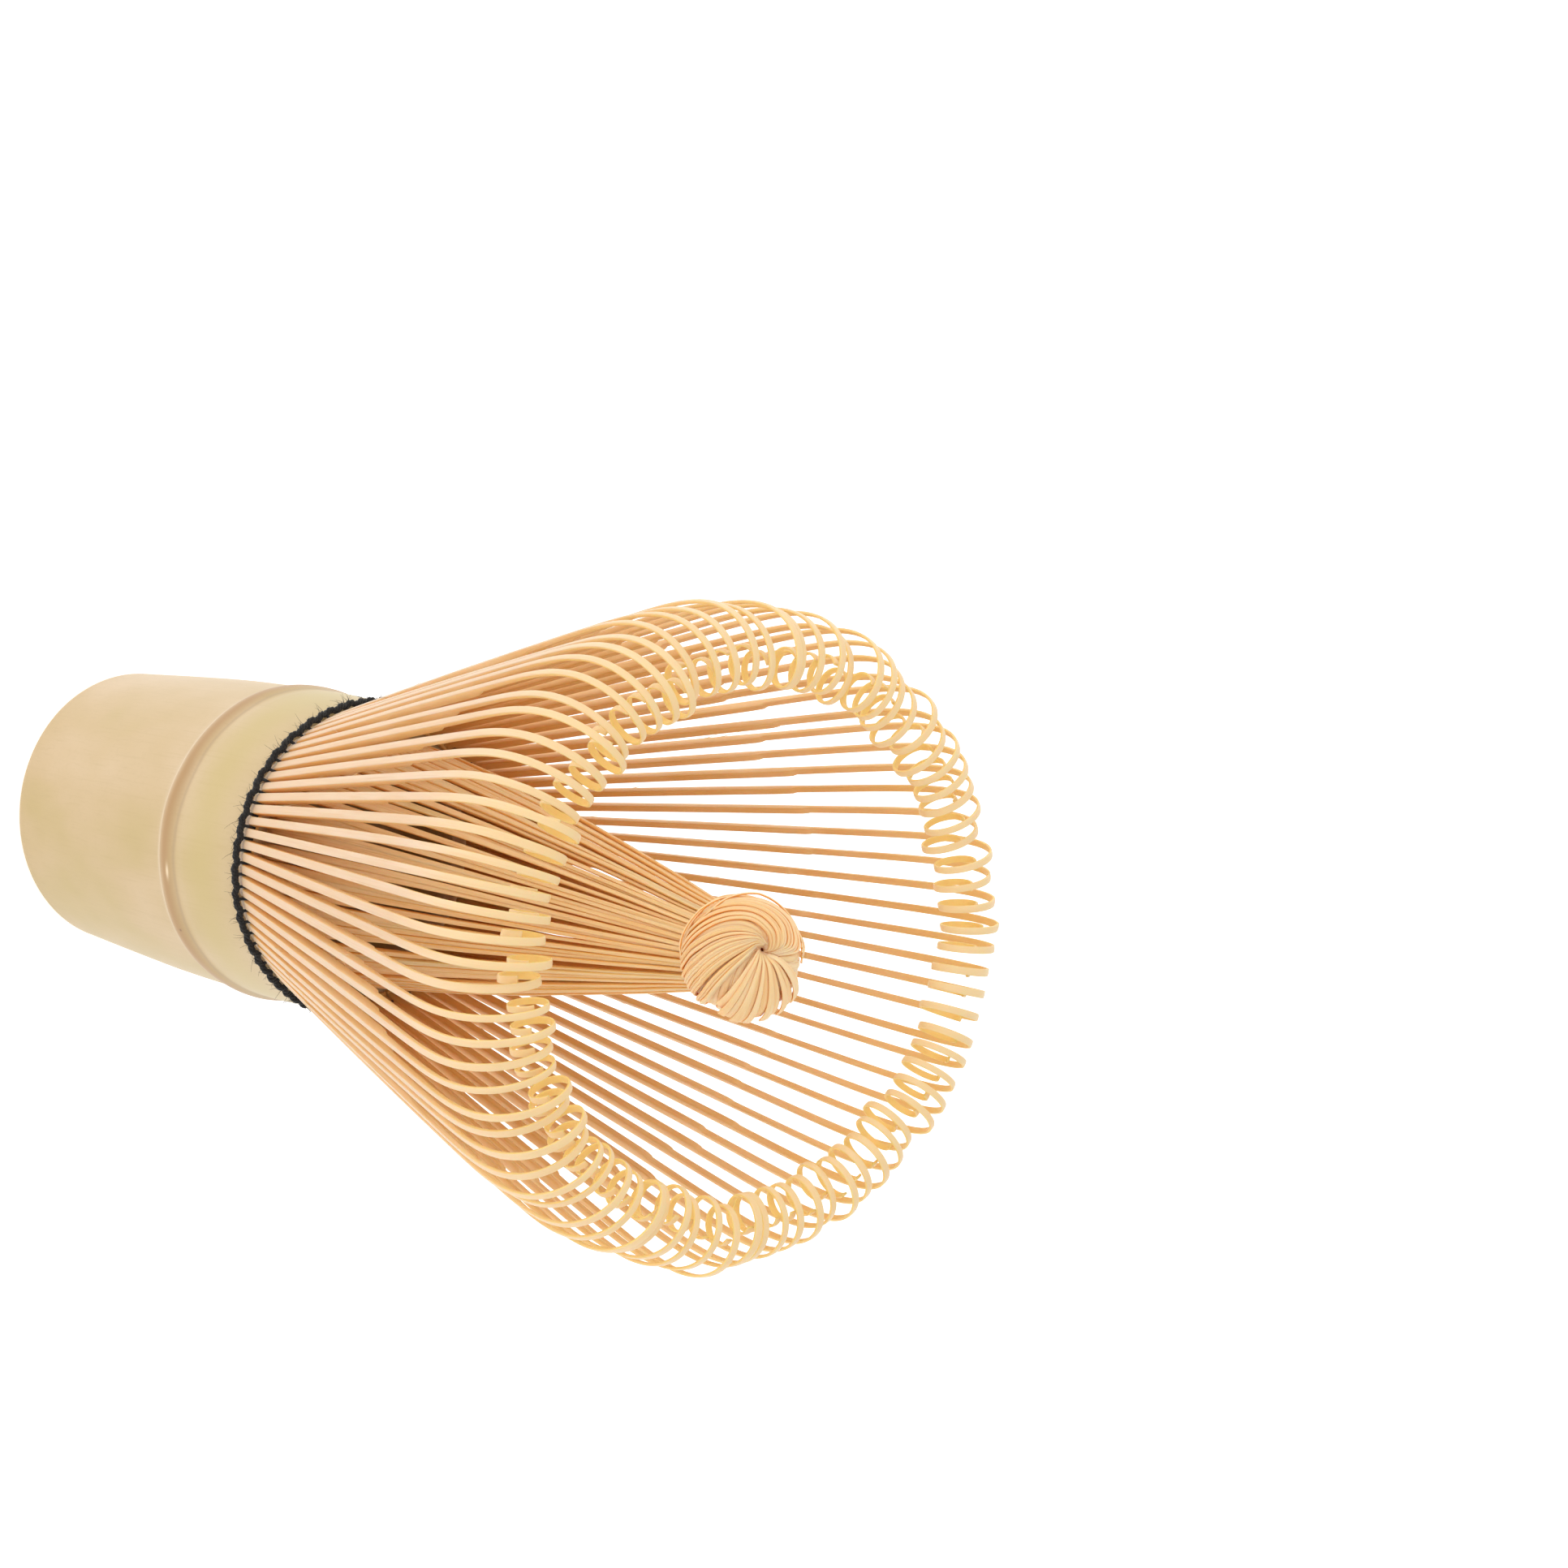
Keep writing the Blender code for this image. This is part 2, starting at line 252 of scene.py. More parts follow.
def smooth_curve(points, count):
    """count points along a Catmull-Rom curve through the given points."""
    points = np.asarray(points, float)
    padded = np.vstack([2 * points[0] - points[1], points, 2 * points[-1] - points[-2]])
    at = np.linspace(0, len(points) - 1, count)
    index = np.minimum(at.astype(int), len(points) - 2)
    t = (at - index)[:, None]
    p0, p1, p2, p3 = (padded[index + k] for k in range(4))
    cubic = 3 * p1 - p0 - 3 * p2 + p3
    square = 2 * p0 - 5 * p1 + 4 * p2 - p3
    return 0.5 * (2 * p1 + (p2 - p0) * t + square * t**2 + cubic * t**3)


def strip_section(widths, depths, rounding):
    """Places across and out of the corners of a strip's section, once round, with rounded edges."""
    share, most = rounding
    corner = np.minimum(np.minimum(widths, depths) * share, most)
    half = widths / 2
    crown = 0.035 * widths
    return [
        (half * 0, crown),
        (half - corner, 0 * corner),
        (half - 0.3 * corner, -0.3 * corner),
        (half, -corner),
        (half, corner - depths),
        (half - 0.3 * corner, 0.3 * corner - depths),
        (half - corner, -depths),
        (half * 0, -depths),
        (corner - half, -depths),
        (0.3 * corner - half, 0.3 * corner - depths),
        (-half, corner - depths),
        (-half, -corner),
        (0.3 * corner - half, -0.3 * corner),
        (corner - half, 0 * corner),
    ]


def distance_round(section):
    """How far round the section each corner lies, on average along the strip."""
    corners = [(float(np.mean(side)), float(np.mean(depth))) for side, depth in section]
    around = [0.0]
    for here, there in zip(corners, corners[1:] + corners[:1]):
        around.append(around[-1] + math.hypot(there[0] - here[0], there[1] - here[1]))
    return around


def strip_faces(rings, base, length, around):
    """Faces, grain coordinates and material slots of one strip whose first vertex is base."""
    faces, uvs, slots = [], [], []
    count = len(SLOTS_ROUND)
    for ring in range(rings - 1):
        low, high = base + ring * count, base + (ring + 1) * count
        u0, u1 = length[ring], length[ring + 1]
        for i, slot in enumerate(SLOTS_ROUND):
            j = (i + 1) % count
            faces.append((low + i, low + j, high + j, high + i))
            uvs += [(u0, around[i]), (u0, around[i + 1]), (u1, around[i + 1]), (u1, around[i])]
            slots.append(slot)
    for ring, order in ((0, -1), (rings - 1, 1)):
        faces.append(tuple(base + ring * count + i for i in range(count))[::order])
        uvs += [(length[ring], around[i]) for i in range(count)][::order]
        slots.append(FLESH)
    return faces, uvs, slots


def strip_mesh(name, strips, rounding=STRIP_ROUNDING):
    """One mesh of several swept strips. Each is (points, across, out, widths, depths, number): points are the
    middle of its outer face, across and out are unit vectors, and number tells it apart in the materials."""
    verts, faces, uvs, slots, numbers = [], [], [], [], []
    for points, across, out, widths, depths, number in strips:
        section = strip_section(widths, depths, rounding)
        edges = [points + across * np.reshape(side, (-1, 1)) + out * np.reshape(deep, (-1, 1))
                 for side, deep in section]
        verts.append(np.stack(edges, axis=1).reshape(-1, 3))
        length = np.concatenate([[0], np.cumsum(np.linalg.norm(np.diff(points, axis=0), axis=1))])
        around = distance_round(section)
        new_faces, new_uvs, new_slots = strip_faces(len(points), len(numbers), length, around)
        faces += new_faces
        uvs += new_uvs
        slots += new_slots
        numbers += [number] * (len(points) * len(section))
    mesh = bpy.data.meshes.new(name)
    mesh.from_pydata(np.concatenate(verts).tolist(), [], faces)
    layer = mesh.uv_layers.new(name="grain")
    layer.data.foreach_set("uv", np.array(uvs, np.float32).ravel())
    mesh.polygons.foreach_set("material_index", slots)
    return finished(mesh, numbers)


def finished(mesh, numbers):
    """The mesh shaded smooth, with each vertex's strand number for the materials."""
    strand = mesh.attributes.new("strand", "FLOAT", "POINT")
    strand.data.foreach_set("value", np.array(numbers, np.float32))
    mesh.shade_smooth()
    mesh.update()
    return mesh


def piece(name, mesh, materials, body, slot, *nodes):
    obj = bpy.data.objects.new(name, mesh)
    bpy.context.scene.collection.objects.link(obj)
    for material in materials:
        mesh.materials.append(material)
    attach(obj, body)
    if nodes:
        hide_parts(*nodes)
    return obj


# ---------------------------------------------------------------- outer tines


def tine_side_view(lean, stem, curl, turn):
    """Length along one tine, with the radius, height and lean of its outer face there."""
    length = np.linspace(0, stem + curl, PATH_STEPS)
    step = length[1]
    share = np.clip((length - stem) / curl, 0, 1)
    growth = np.minimum(share / CURL_EVEN_FROM, 1) ** CURL_POWER
    mean_growth = CURL_EVEN_FROM / (CURL_POWER + 1) + 1 - CURL_EVEN_FROM
    bend = np.where(length < stem, STEM_BOW / stem, turn / (curl * mean_growth) * growth)
    leans = lean - np.cumsum(bend) * step
    radius = STEM_START[0] + np.cumsum(np.sin(leans)) * step
    height = STEM_START[1] + np.cumsum(np.cos(leans)) * step
    return length, radius, height, leans


def ring_places(length, leans, notch_at):
    """Which steps of the path get a ring: few on the stem, many in the curl and three at the shaved notch."""
    turned = np.abs(np.diff(leans, prepend=leans[0])).cumsum()
    pace = np.diff(length, prepend=0) / (1.6 * MM) + np.diff(turned, prepend=0) / math.radians(6)
    pace = np.cumsum(pace)
    even = np.unique(np.searchsorted(pace, np.arange(0, pace[-1], 1.0)))
    notch = np.searchsorted(length, [notch_at - 0.5 * MM, notch_at, notch_at + 0.25 * MM])
    return np.unique(np.concatenate([even, notch, [len(length) - 1]]))


def with_root(length, radius, height, leans):
    """The path with its root added below, which stands upright behind the thread."""
    length = np.concatenate([[-1.2 * MM, -0.7 * MM], length])
    radius = np.concatenate([[ROOT_RADIUS, ROOT_RADIUS], radius])
    height = np.concatenate([[ROOT_HEIGHT, ROOT_HEIGHT + 0.5 * MM], height])
    leans = np.concatenate([[0.0, math.radians(10)], leans])
    return length, radius, height, leans


def tine_widths(length, far, widen):
    """Width along the tine. far is 0 on the -Y side and 1 on the +Y side."""
    stem_width = STEM_WIDTHS[0] + (STEM_WIDTHS[1] - STEM_WIDTHS[0]) * far
    curl_width = CURL_WIDTHS[0] + (CURL_WIDTHS[1] - CURL_WIDTHS[0]) * far
    stations = (0, 14 * MM, 40 * MM, 54 * MM, 64 * MM, length[-1])
    plan = (ROOT_WIDTH, stem_width, stem_width, curl_width, curl_width, 0.9 * curl_width)
    return np.interp(length, stations, plan) * widen


def tine_depths(length, notch_at):
    """Thickness along the tine, which drops by a third at the notch and then thins towards the tip."""
    stations = (0, notch_at - 1.5 * MM, notch_at, notch_at + 0.3 * MM, notch_at + 14 * MM, 58 * MM, 80 * MM)
    plan = (1.0 * MM, 0.86 * MM, 0.80 * MM, 0.56 * MM, 0.40 * MM, 0.28 * MM, 0.20 * MM)
    return np.interp(length, stations, plan)


def one_tine(number):
    """The strip of one outer tine. Real tines are split by hand, so each differs a little."""
    angle = TAU * (number + 0.5) / TINES
    far = 0.5 + 0.5 * math.sin(angle)
    more = RNG.normal(0, 1, 11).clip(-1.8, 1.8)
    more_lean, more_stem, more_curl, more_turn, more_sway, more_bow = more[:6]
    more_twist, more_tip_twist, more_width, more_notch, more_aside = more[6:]
    # the outermost tines of a section keep clear of the next section's
    calm = 0.3 if number % TINES_PER_SECTION in (0, TINES_PER_SECTION - 1) else 1.0

    lean = STEM_LEAN + math.radians(0.3) * calm * more_lean
    stem = STEM_LENGTH + 0.5 * MM * calm * more_stem
    curl = CURL_LENGTH * (1 + 0.015 * more_curl)
    turn = CURL_TURN + math.radians(14) * more_turn
    notch_at = SHAVED_FROM + 1.6 * MM * more_notch
    path = tine_side_view(lean, stem, curl, turn)
    keep = ring_places(path[0], path[3], notch_at)
    length, radius, height, leans = with_root(*(values[keep] for values in path))

    share = np.clip(length / length[-1], 0, 1)
    sway = math.radians(0.38) * more_sway * share**1.3
    sway = sway + math.radians(0.22) * more_bow * np.sin(math.pi * share)
    radial, around = round_the_axis(angle + sway * calm)
    turns = np.clip((lean - leans) / TAU, 0, None)
    aside = -CURL_STEP_ASIDE * turns**1.3 * (1 + 0.7 * calm * more_aside)
    points = radial * radius[:, None] + UP * height[:, None] + around * aside[:, None]
    out = radial * np.cos(leans)[:, None] - UP * np.sin(leans)[:, None]
    twist = (math.radians(3.0) * more_twist * share + math.radians(6) * more_tip_twist * share**3) * calm
    across, out = turned_about_path(around, out, twist)
    widths = tine_widths(length, far, 1 + 0.05 * more_width)
    return points, across, out, widths, tine_depths(length, notch_at), number / TINES


def splinter(strip):
    """A fine fibre that has come away from one edge of a tine and stands off it."""
    points, across, out, widths, _, number = strip
    start = int(RNG.integers(6, 22))
    side = 1 if RNG.random() < 0.5 else -1
    steps = np.linspace(0, 1, 7)[:, None]
    along = unit(points[start + 1] - points[start])
    away = side * across[start] + RNG.normal(0, 0.5) * out[start]
    reach = RNG.uniform(1.2, 3.6) * MM
    foot = points[start] + across[start] * side * widths[start] * 0.42
    path = foot + along * steps * reach + away * steps**1.7 * reach * RNG.uniform(0.06, 0.30)
    same = np.ones((7, 1))
    thin = np.linspace(0.055, 0.020, 7) * MM
    return path, across[start] * same, out[start] * same, thin, thin, number


def root_block(section):
    """The unsplit foot of a section, hidden behind the thread."""
    half = math.pi / SECTIONS - ROOT_BLOCK_GAP / ROOT_RADIUS
    middle = TAU * (section + 0.5) / SECTIONS
    radial, _ = round_the_axis(middle + np.linspace(-half, half, 12))
    points = radial * ROOT_RADIUS + UP * (ROOT_HEIGHT + ROOT_BLOCK_WIDTH / 2)
    down = np.tile(-UP, (12, 1))
    return points, down, radial, np.full(12, ROOT_BLOCK_WIDTH), np.full(12, ROOT_BLOCK_DEPTH), 0.5


def make_outer_tines(skin, flesh):
    for section in range(SECTIONS):
        strips = [one_tine(section * TINES_PER_SECTION + i) for i in range(TINES_PER_SECTION)]
        chosen = (strips[int(RNG.integers(TINES_PER_SECTION))] for _ in range(SPLINTERS_PER_SECTION))
        splinters = [splinter(strip) for strip in chosen]
        strips += splinters + [root_block(section)]
        label = f"{section + 1:02d}"
        mesh = strip_mesh(f"split_tines_{label}", strips)
        body = f"outer_section_{label}"
        piece(f"split_tines_{label}", mesh, (skin, flesh), body, "outer_bamboo", f"outer_tines_{label}")


# ---------------------------------------------------------------- inner tines


def core_shift(height):
    """How far the cone's middle stands along +X at a height."""
    rise = np.clip((np.asarray(height) - ROOT_HEIGHT) / (KNOT_HEIGHT - ROOT_HEIGHT), 0, None)
    return CORE_LEAN * rise**1.5


def inner_strip(section, index):
    """One fine strip of the cone. The strips of a section draw together into a bundle as they rise."""
    vary = RNG.normal(0, 1, 8)
    more_gather, more_turn, more_bow, more_inset, more_twist, more_width, more_tone = vary[:7]
    heights = np.linspace(CONE[0][0], CONE[-1][0], STRIP_RINGS) * MM
    outer = np.interp(heights / MM, [h for h, _ in CONE], [r for _, r in CONE]) * MM
    share = np.linspace(0, 1, STRIP_RINGS)
    bulge = np.sin(math.pi * share)

    place = (index - (STRIPS_PER_SECTION - 1) / 2) / STRIPS_PER_SECTION
    gather = 0.95 - 0.15 * share + 0.05 * more_gather * share
    angle = TAU / SECTIONS * (section + 0.5 + place * gather)
    angle = angle + math.radians(1.2) * more_turn * share + math.radians(0.9) * more_bow * bulge
    # every second strip lies a little deeper
    inset = index % 2 * 0.28 * MM * share + 0.16 * MM * abs(more_inset) * bulge
    radius = outer - inset
    lean = np.arctan(np.gradient(outer, heights))
    radial, around = round_the_axis(angle)
    points = radial * radius[:, None] + UP * heights[:, None]
    points[:, 0] += core_shift(heights)
    out = radial * np.cos(lean)[:, None] - UP * np.sin(lean)[:, None]
    across, out = turned_about_path(around, out, math.radians(9) * more_twist * share)
    room = TAU * radius / (SECTIONS * STRIPS_PER_SECTION) * gather
    widths = np.clip(room * (0.97 + 0.03 * more_width), *STRIP_WIDTHS)
    depths = np.interp(share, [0, 0.4, 1], [0.55 * MM, 0.36 * MM, 0.24 * MM])
    number = ((section * STRIPS_PER_SECTION + index) * 0.377 + 0.1 * more_tone) % 1
    return points, across, out, widths, depths, number


def make_inner_tines(skin, flesh):
    for section in range(SECTIONS):
        strips = [inner_strip(section, index) for index in range(STRIPS_PER_SECTION)]
        label = f"{section + 1:02d}"
        mesh = strip_mesh(f"core_strips_{label}", strips)
        node = f"inner_tines_{label}"
        piece(f"core_strips_{label}", mesh, (skin, flesh), "inner_core", "inner_bamboo", node)


# ---------------------------------------------------------------- knot


def from_eye(angle, turn):
    """Unit directions at an angle from the knot's eye, turned round it. Both are in degrees."""
    angle, turn = np.radians(angle), np.radians(turn)
    across = np.cos(turn)[..., None] * EYE_SIDE + np.sin(turn)[..., None] * np.cross(EYE, EYE_SIDE)
    return np.cos(angle)[..., None] * EYE + np.sin(angle)[..., None] * across


def on_knot(ways, lift):
    """Points on the knot in the directions ways from its middle, with the way out of the surface there."""
    level = np.where(ways[:, 2] > 0, KNOT_RISE, KNOT_DROP)
    reach = np.stack([KNOT_REACH + 0 * level, KNOT_REACH + 0 * level, level], axis=1)
    angle = np.arccos(np.clip(ways @ EYE, -1, 1))
    hollow = EYE_DEPTH * np.exp(-((angle / EYE_SPREAD) ** 2))
    outward = unit(ways - (ways @ EYE)[:, None] * EYE + 1e-9)
    slope = hollow * 2 * angle / EYE_SPREAD**2 / KNOT_REACH
    points = ways * (reach + lift[:, None]) - EYE * hollow[:, None]
    points += np.array([KNOT_ASIDE, 0.0, KNOT_HEIGHT])
    return points, unit(unit(ways / reach) - outward * slope[:, None])


def knot_strand(angles, turns, lifts, widths, depth, number, samples=44):
    """A strand of the knot through angles from the eye and turns round it. Its lifts off the knot's surface,
    its widths and its depth are in millimetres."""
    ways = from_eye(np.asarray(angles, float), np.asarray(turns, float))
    ways = unit(smooth_curve(ways, samples))
    share = np.linspace(0, 1, samples)
    lifts, widths = (np.interp(share, np.linspace(0, 1, len(row)), row) * MM for row in (lifts, widths))
    points, normal = on_knot(ways, lifts)
    tangent = unit(np.gradient(points, axis=0))
    out = unit(normal - tangent * np.sum(normal * tangent, axis=1, keepdims=True))
    return points, np.cross(tangent, out), out, widths, np.full(samples, depth * MM), number


def between(first, last, share):
    return np.asarray(first, float) * (1 - share) + np.asarray(last, float) * share


def between_three(first, middle, last, place):
    """Angles and turns of a strand at a place from 0 to 1 between three known ones."""
    low, high = (first, middle) if place < 0.5 else (middle, last)
    return between(low, high, 2 * place % 1 if place < 1 else 1.0).T


def under_strands():
    """The turns beneath, which rise from the cone's neck all round and wind into the eye."""
    strands, count = [], 46
    angles = (148, 128, 104, 78, 54, 34, 16, 2)
    widths = (0.52, 0.88, 0.72, 0.38)
    for i in range(count):
        start = 360 * i / count + 0.8 * RNG.normal()
        turns = start - np.array([-6, 0, 8, 20, 34, 50, 70, 96])
        lift = -0.30 - 0.10 * (i % 2)
        strands.append(knot_strand(angles, turns, (lift, lift - 0.04), widths, 0.34, i * 0.381 % 1))
    return strands


def arc_strands():
    """Arcs one outside the other, which rise on the near side and sweep round the eye into its far edge."""
    strands, count = [], 12
    inner = ((132, 172), (100, 166), (62, 142), (35, 114), (18, 88), (9, 50), (5, -10), (2, -60))
    middle = ((132, 158), (101, 142), (67, 113), (45, 84), (34, 58), (26, 36), (18, 10), (5, -40))
    outer = ((134, 150), (104, 134), (84, 112), (74, 88), (68, 60), (62, 32), (48, 2), (15, -32))
    for i in range(count):
        wobble, rise, wider = RNG.normal(0, 1, 3).clip(-1.6, 1.6)
        angles, turns = between_three(inner, middle, outer, i / (count - 1))
        angles = angles + 0.7 * wobble * np.sin(np.linspace(0, math.pi, len(angles)))
        lift = 0.02 + 0.13 * (i % 2) + 0.04 * rise
        widths = np.array([0.28, 0.31, 0.35, 0.37, 0.35, 0.31, 0.20]) * (1 + 0.07 * wider)
        lifts = (lift, lift, lift, -0.25)
        strands.append(knot_strand(angles, turns, lifts, widths, STRAND_DEPTH, i * 0.29 % 1, 64))
    return strands


def side_strands():
    """Strands from the near side that bend a little on their way into the eye and lie over the arcs' ends."""
    strands, count = [], 17
    first = ((134, 176), (104, 174), (84, 166), (60, 156), (42, 146), (26, 134), (12, 112), (4, 60))
    last = ((132, 240), (108, 228), (86, 223), (60, 217), (40, 211), (23, 202), (10, 172), (3, 120))
    for i in range(count):
        wobble, rise, wider = RNG.normal(0, 1, 3).clip(-1.6, 1.6)
        angles, turns = between(first, last, i / (count - 1)).T
        turns = turns + 1.1 * wobble + 1.4 * wider * np.sin(np.linspace(0, math.pi, len(turns)))
        lift = 0.06 + 0.16 * (i % 2) + 0.06 * rise
        lifts = (lift, lift, lift, 0.02 + 0.13 * (i % 3))
        widths = np.array([0.28, 0.33, 0.36, 0.31, 0.22, 0.17]) * (1 + 0.08 * wider)
        strands.append(knot_strand(angles, turns, lifts, widths, STRAND_DEPTH, i * 0.37 % 1))
    return strands


def fan_strands():
    """Ends that come out of the eye, spread over the far side from the arcs and are cut square, unevenly."""
    strands, count = [], 13
    first = ((6, 195), (13, 213), (28, 225), (46, 231), (66, 234), (82, 235))
    middle = ((6, 235), (13, 254), (28, 265), (46, 270), (68, 273), (90, 274))
    last = ((6, 298), (14, 318), (30, 324), (46, 325), (62, 324), (76, 323))
    for i in range(count):
        longer, aside, rise, wider = RNG.normal(0, 1, 4).clip(-1.6, 1.6)
        angles, turns = between_three(first, middle, last, i / (count - 1))
        towards_end = np.linspace(0, 1, len(angles))
        angles = angles * (1 + 0.045 * longer * towards_end)
        turns = turns + 2.0 * aside * towards_end
        lift = 0.14 + 0.20 * (i % 2)
        lifts = (0.10, lift, lift, lift + 0.06, lift + 0.12 + 0.12 * rise)
        widths = np.array([0.20, 0.33, 0.50, 0.71, 0.88]) * (1 + 0.12 * wider)
        strands.append(knot_strand(angles, turns, lifts, widths, 0.20, i * 0.43 % 1))
    return strands


def loose_loops():
    """A few thin strands that stand off the knot's edge, each by its own amount."""
    strands = []
    for i, (edge, lift, bump_at) in enumerate(((92, 0.40, 3), (84, 0.60, 2), (98, 0.50, 5), (80, 0.50, 4))):
        turns = (176 - 5 * i, 160, 134, 108, 80, 52, 26, 4 - 6 * i)
        angles = (118, 106, edge + 2, edge - 2, edge - 6, edge - 8, edge - 14, 52)
        lifts = np.full(8, 0.14)
        lifts[bump_at - 1 : bump_at + 2] += lift * np.array([0.5, 1.0, 0.5])
        strands.append(knot_strand(angles, turns, lifts, (0.20, 0.24, 0.22), 0.20, 0.2 * i, 60))
    return strands


def make_knot(skin, flesh):
    strands = under_strands() + arc_strands() + side_strands() + fan_strands() + loose_loops()
    mesh = strip_mesh("knot_strands", strands, KNOT_ROUNDING)
    piece("knot_strands", mesh, (skin, flesh), "inner_core", "inner_bamboo", "core_knot")


# ---------------------------------------------------------------- handle


def turned_mesh(name, profile, segments, wobble):
    """A closed turned surface through (radius, height) points, pushed in and out by wobble(angle, height)."""
    verts, faces = [], []
    rings = len(profile)
    for radius, height in profile:
        for i in range(segments):
            angle = TAU * i / segments
            r = radius + (wobble(angle, height) if radius > OUTSIDE_RADIUS else 0.0)
            verts.append((r * math.cos(angle), r * math.sin(angle), height))
    for ring in range(rings - 1):
        for i in range(segments):
            j = (i + 1) % segments
            a, b = ring * segments, (ring + 1) * segments
            faces.append((a + i, a + j, b + j, b + i))
    faces.append(tuple(range(segments))[::-1])
    faces.append(tuple((rings - 1) * segments + i for i in range(segments)))
    mesh = bpy.data.meshes.new(name)
    mesh.from_pydata(verts, [], faces)
    mesh.update()
    mesh.shade_smooth()
    return mesh


def handle_profile():
    """From the middle of the lower hollow, round the foot, up the outside and down into the upper hollow."""
    lower_side = [tuple(point) for point in smooth_curve(LOWER_SIDE, 60)]
    upper_side = [tuple(point) for point in smooth_curve(UPPER_SIDE, 30)]
    points = LOWER_HOLLOW + FOOT_EDGE + lower_side + NODE_RING + upper_side + TOP_EDGE + UPPER_HOLLOW
    return [(radius * MM, height * MM) for radius, height in points]


def culm_wobble(angle, height):
    """How far the culm is out of round, which is most at the node."""
    low = 0.06 * math.sin(2 * angle + 0.7) + 0.04 * math.sin(3 * angle + 2.1 + 30 * height)
    near_node = math.exp(-(((height - NODE_HEIGHT) / (1.2 * MM)) ** 2))
    return (low + near_node * 0.05 * math.sin(7 * angle + 1.0)) * MM


def make_handle(bamboo):
    mesh = turned_mesh("culm_handle", handle_profile(), 192, culm_wobble)
    piece("culm_handle", mesh, (bamboo,), "handle", "handle_bamboo", "handle")


# ---------------------------------------------------------------- thread


def tube(points, radius, sides, closed, number):
    """Vertices, faces and strand numbers of a round tube along points."""
    points = np.asarray(points)
    if closed:
        tangent = unit(np.roll(points, -1, axis=0) - np.roll(points, 1, axis=0))
    else:
        tangent = unit(np.gradient(points, axis=0))
    across = unit(np.cross(tangent, UP) + 1e-9)
    over = np.cross(across, tangent)
    radius = np.broadcast_to(radius, len(points))
    angles = TAU * np.arange(sides) / sides
    rings = (
        points[:, None]
        + across[:, None] * (np.cos(angles)[None, :, None] * radius[:, None, None])
        + over[:, None] * (np.sin(angles)[None, :, None] * radius[:, None, None])
    )
    count = len(points)
    faces = []
    for ring in range(count if closed else count - 1):
        for i in range(sides):
            j = (i + 1) % sides
            a, b = ring * sides, ((ring + 1) % count) * sides
            faces.append((a + i, b + i, b + j, a + j))
    if not closed:
        faces.append(tuple(range(sides)))
        faces.append(tuple((count - 1) * sides + i for i in range(sides))[::-1])
    return rings.reshape(-1, 3), faces, [number] * (count * sides)


def tube_mesh(name, tubes):
    verts, faces, numbers = [], [], []
    for points, their_faces, their_numbers in tubes:
        base = len(numbers)
        verts.append(points)
        faces += [tuple(base + i for i in face) for face in their_faces]
        numbers += their_numbers
    mesh = bpy.data.meshes.new(name)
    mesh.from_pydata(np.concatenate(verts).tolist(), [], faces)
    return finished(mesh, numbers)


def at_angle(radius, height, angle):
    """Points from radius and height, turned to an angle round the whisk's axis."""
    return np.stack([radius * np.cos(angle), radius * np.sin(angle), height], axis=1)


def thread_route(angle):
    """Middle of the thread: it bulges over each tine, tucks in between tines and rises and dips in turn."""
    beat = np.cos(angle * TINES + math.pi)
    weave = np.cos(angle * TINES / 2 + 0.4)
    radius = THREAD_RING + 0.09 * MM * beat
    height = THREAD_HEIGHT + 0.13 * MM * weave + 0.05 * MM * np.sin(7 * angle)
    return radius, height


def thread_plies():
    """Three plies, twisted once for each tine."""
    samples = TINES * 12
    angle = TAU * np.arange(samples) / samples
    radius, height = thread_route(angle)
    plies = []
    for ply in range(PLIES):
        wind = angle * TINES + TAU * ply / PLIES
        points = at_angle(radius + PLY_OFFSET * np.cos(wind), height + PLY_OFFSET * np.sin(wind), angle)
        swell = 1 + 0.10 * np.sin(angle * 23 + ply) + 0.08 * np.sin(angle * 57 + 2 * ply)
        plies.append(tube(points, PLY_RADIUS * swell, 8, True, ply / PLIES))
    return plies


def thread_passes():
    """Where the thread goes in between each two tines, with a strand number in turn low and high."""
    passes = []
    for gap in range(TINES):
        more_height, more_turn, _ = RNG.normal(0, 1, 3)
        end = 42.95 + 0.18 * more_height
        path = smooth_curve([(15.35, 41.95), (15.1, 42.25), (14.8, end - 0.3), (14.4, end - 0.1)], 9) * MM
        bend = TAU * gap / TINES + math.radians(0.12) * more_turn
        points = at_angle(path[:, 0], path[:, 1], bend)
        passes.append(tube(points, np.linspace(0.17, 0.12, 9) * MM, 7, False, 0.2 + 0.6 * (gap % 2)))
    return passes


def thread_hair():
    """A fine hair that stands off the thread's outer side and droops a little."""
    at = RNG.uniform(0, TAU)
    radius, height = thread_route(np.array([at]))
    side = RNG.uniform(-0.62, 0.45) * math.pi
    start = np.array([radius[0] + 0.28 * MM * math.cos(side), height[0] + 0.28 * MM * math.sin(side)])
    away = np.array([math.cos(side), math.sin(side) - 0.25])
    reach = 0.25 * MM + 0.9 * MM * RNG.random() ** 2.5
    drift = RNG.normal(0, 0.025)
    bend = RNG.normal(0, 0.25)
    steps = np.linspace(0, 1, 5)
    square_to_it = np.array([-away[1], away[0]])
    path = start + (away * steps[:, None] + square_to_it * (bend * steps**2)[:, None]) * reach
    points = at_angle(path[:, 0], path[:, 1], at + drift * steps**1.5)
    return tube(points, np.linspace(0.022, 0.008, 5) * MM, 3, False, RNG.uniform(0, 1))


